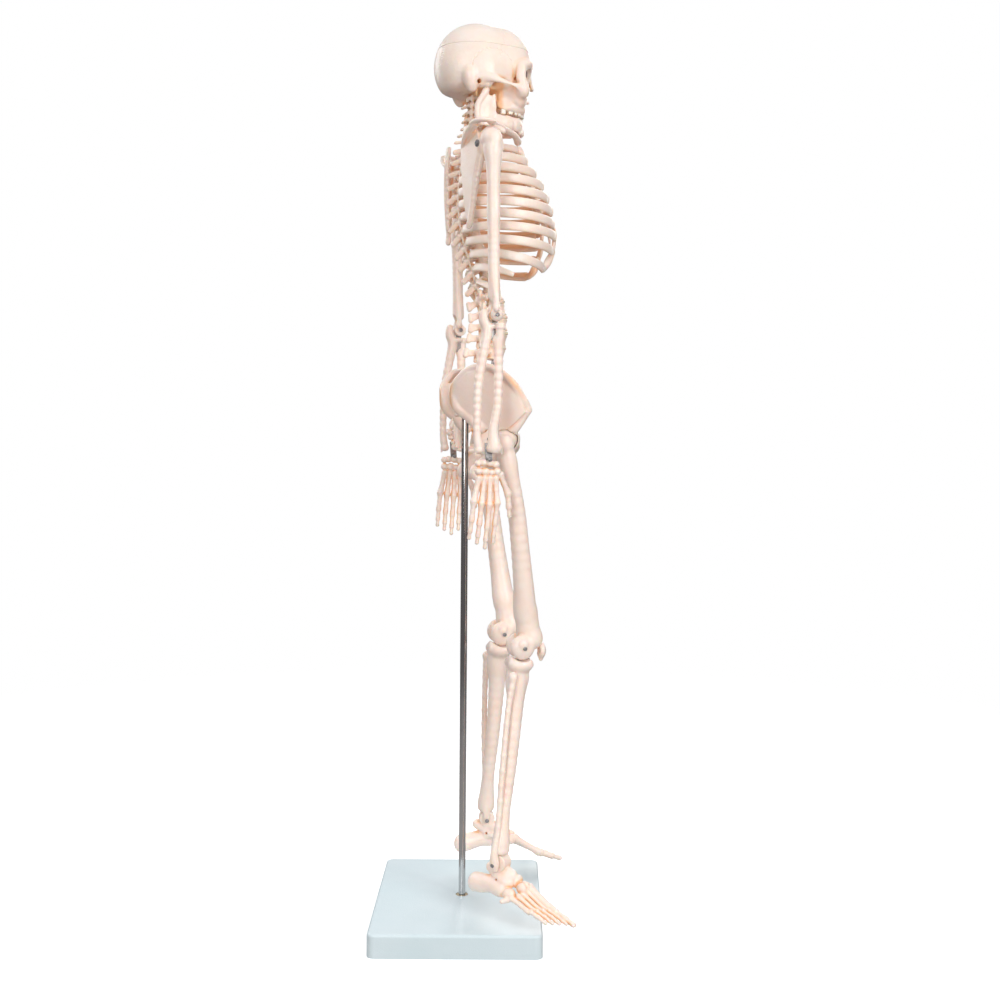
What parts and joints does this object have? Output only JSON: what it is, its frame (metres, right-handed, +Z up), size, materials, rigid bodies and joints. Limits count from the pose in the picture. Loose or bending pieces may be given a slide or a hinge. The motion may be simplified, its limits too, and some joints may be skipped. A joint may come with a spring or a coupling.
{
  "type": "human skeleton model",
  "caption": "Half-size human skeleton teaching model hung on a chrome pole above a flat plastic base, with jointed limbs, turning head, lifting skull cap and opening jaw.",
  "frame": {"origin": "on the pole's axis, at the base plate's underside (floor level)", "axes": "+Z up along the pole; the skeleton faces -Y and its own right side is at -X"},
  "size_m": [0.2283, 0.2103, 0.85],
  "materials": {
    "bone_plastic": "moulded PVC, pale pinkish cream, soft satin gloss",
    "disc_plastic": "moulded soft PVC, slightly yellower cream",
    "base_plastic": "moulded plastic, very pale blue, fine satin texture",
    "pad_rubber": "black rubber pad",
    "insert_brass": "turned",
    "pole_chrome": "polished chrome plate",
    "fitting_steel": "zinc-plated steel, slightly dulled",
    "strap_steel": "pale plated strap"
  },
  "bodies": {
    "stand": {"base_plate": "base_plastic", "base_pads": "pad_rubber", "pole_insert": "insert_brass", "pole": "pole_chrome"},
    "torso": {"sacrum": "bone_plastic", "coccyx": "bone_plastic", "hip_bone_r": "bone_plastic", "hip_bone_l": "bone_plastic", "pubic_disc": "disc_plastic", "back_screws": "fitting_steel", "lumbar_vertebrae": "bone_plastic", "thoracic_vertebrae": "bone_plastic", "cervical_vertebrae": "bone_plastic", "spinal_discs": "disc_plastic", "spine_rod": "fitting_steel", "skull_nut": "fitting_steel", "sternum": "bone_plastic", "ribs_r": "bone_plastic", "ribs_l": "bone_plastic", "costal_cartilage_r": "disc_plastic", "costal_cartilage_l": "disc_plastic", "clavicle_r": "bone_plastic", "clavicle_l": "bone_plastic", "scapula_r": "bone_plastic", "scapula_l": "bone_plastic", "hip_screw_r": "fitting_steel", "hip_screw_l": "fitting_steel"},
    "skull": {"cranium": "bone_plastic", "jaw_screws": "fitting_steel"},
    "skull_cap": {"calvarium": "bone_plastic"},
    "jaw": {"mandible": "bone_plastic"},
    "shoulder_hook_r": {"shoulder_link_r": "fitting_steel"},
    "upper_arm_r": {"humerus_r": "bone_plastic"},
    "forearm_r": {"radius_r": "bone_plastic", "ulna_r": "bone_plastic", "elbow_link_r": "fitting_steel", "wrist_link_r": "fitting_steel"},
    "palm_r": {"hand_r": "bone_plastic"},
    "thigh_r": {"femur_r": "bone_plastic", "patella_r": "bone_plastic"},
    "shank_r": {"tibia_r": "bone_plastic", "fibula_r": "bone_plastic", "knee_strap_r": "strap_steel", "ankle_screw_r": "fitting_steel"},
    "sole_r": {"foot_r": "bone_plastic"},
    "shoulder_hook_l": {"shoulder_link_l": "fitting_steel"},
    "upper_arm_l": {"humerus_l": "bone_plastic"},
    "forearm_l": {"radius_l": "bone_plastic", "ulna_l": "bone_plastic", "elbow_link_l": "fitting_steel", "wrist_link_l": "fitting_steel"},
    "palm_l": {"hand_l": "bone_plastic"},
    "thigh_l": {"femur_l": "bone_plastic", "patella_l": "bone_plastic"},
    "shank_l": {"tibia_l": "bone_plastic", "fibula_l": "bone_plastic", "knee_strap_l": "strap_steel", "ankle_screw_l": "fitting_steel"},
    "sole_l": {"foot_l": "bone_plastic"}
  },
  "joints": [
    {"name": "skeleton_turn", "type": "hinge", "parent": "stand", "child": "torso", "pos_m": [0, 0, 0.5], "axis": [0, 0, 1], "continuous": true},
    {"name": "neck_turn", "type": "hinge", "parent": "torso", "child": "skull", "pos_m": [0, -0.01, 0.785], "axis": [0, 0, 1], "range_deg": [-60, 60]},
    {"name": "skull_cap_lift", "type": "slide", "parent": "skull", "child": "skull_cap", "axis": [0, 0, 1], "range_m": [0, 0.06]},
    {"name": "jaw_open", "type": "hinge", "parent": "skull", "child": "jaw", "pos_m": [0, -0.013, 0.786], "axis": [1, 0, 0], "range_deg": [-2, 16]},
    {"name": "shoulder_swing_r", "type": "hinge", "parent": "torso", "child": "shoulder_hook_r", "pos_m": [-0.085, -0.006, 0.722], "axis": [-1, 0, 0], "range_deg": [-40, 90]},
    {"name": "shoulder_raise_r", "type": "hinge", "parent": "shoulder_hook_r", "child": "upper_arm_r", "pos_m": [-0.085, -0.006, 0.722], "axis": [0, 1, 0], "range_deg": [0, 75]},
    {"name": "elbow_bend_r", "type": "hinge", "parent": "upper_arm_r", "child": "forearm_r", "pos_m": [-0.085, -0.0095, 0.565], "axis": [-1, 0, 0], "range_deg": [0, 95]},
    {"name": "wrist_bend_r", "type": "hinge", "parent": "forearm_r", "child": "palm_r", "pos_m": [-0.085, -0.005, 0.437], "axis": [-1, 0, 0], "range_deg": [-20, 30]},
    {"name": "hip_swing_r", "type": "hinge", "parent": "torso", "child": "thigh_r", "pos_m": [-0.044, -0.029, 0.455], "axis": [-1, 0, 0], "range_deg": [-12, 75]},
    {"name": "knee_bend_r", "type": "hinge", "parent": "thigh_r", "child": "shank_r", "pos_m": [-0.042, -0.046, 0.263], "axis": [1, 0, 0], "range_deg": [0, 80]},
    {"name": "ankle_lift_r", "type": "hinge", "parent": "shank_r", "child": "sole_r", "pos_m": [-0.066, -0.022, 0.072], "axis": [-0.6947, 0.7193, 0], "range_deg": [0, 30]},
    {"name": "shoulder_swing_l", "type": "hinge", "parent": "torso", "child": "shoulder_hook_l", "pos_m": [0.085, -0.006, 0.722], "axis": [-1, 0, 0], "range_deg": [-40, 90]},
    {"name": "shoulder_raise_l", "type": "hinge", "parent": "shoulder_hook_l", "child": "upper_arm_l", "pos_m": [0.085, -0.006, 0.722], "axis": [0, -1, 0], "range_deg": [0, 75]},
    {"name": "elbow_bend_l", "type": "hinge", "parent": "upper_arm_l", "child": "forearm_l", "pos_m": [0.085, -0.0095, 0.565], "axis": [-1, 0, 0], "range_deg": [0, 95]},
    {"name": "wrist_bend_l", "type": "hinge", "parent": "forearm_l", "child": "palm_l", "pos_m": [0.085, -0.005, 0.437], "axis": [-1, 0, 0], "range_deg": [-20, 30]},
    {"name": "hip_swing_l", "type": "hinge", "parent": "torso", "child": "thigh_l", "pos_m": [0.044, -0.029, 0.455], "axis": [-1, 0, 0], "range_deg": [-12, 75]},
    {"name": "knee_bend_l", "type": "hinge", "parent": "thigh_l", "child": "shank_l", "pos_m": [0.042, -0.046, 0.263], "axis": [1, 0, 0], "range_deg": [0, 80]},
    {"name": "ankle_lift_l", "type": "hinge", "parent": "shank_l", "child": "sole_l", "pos_m": [0.066, -0.037, 0.072], "axis": [-0.9945, 0.1045, 0], "range_deg": [0, 30]}
  ]
}
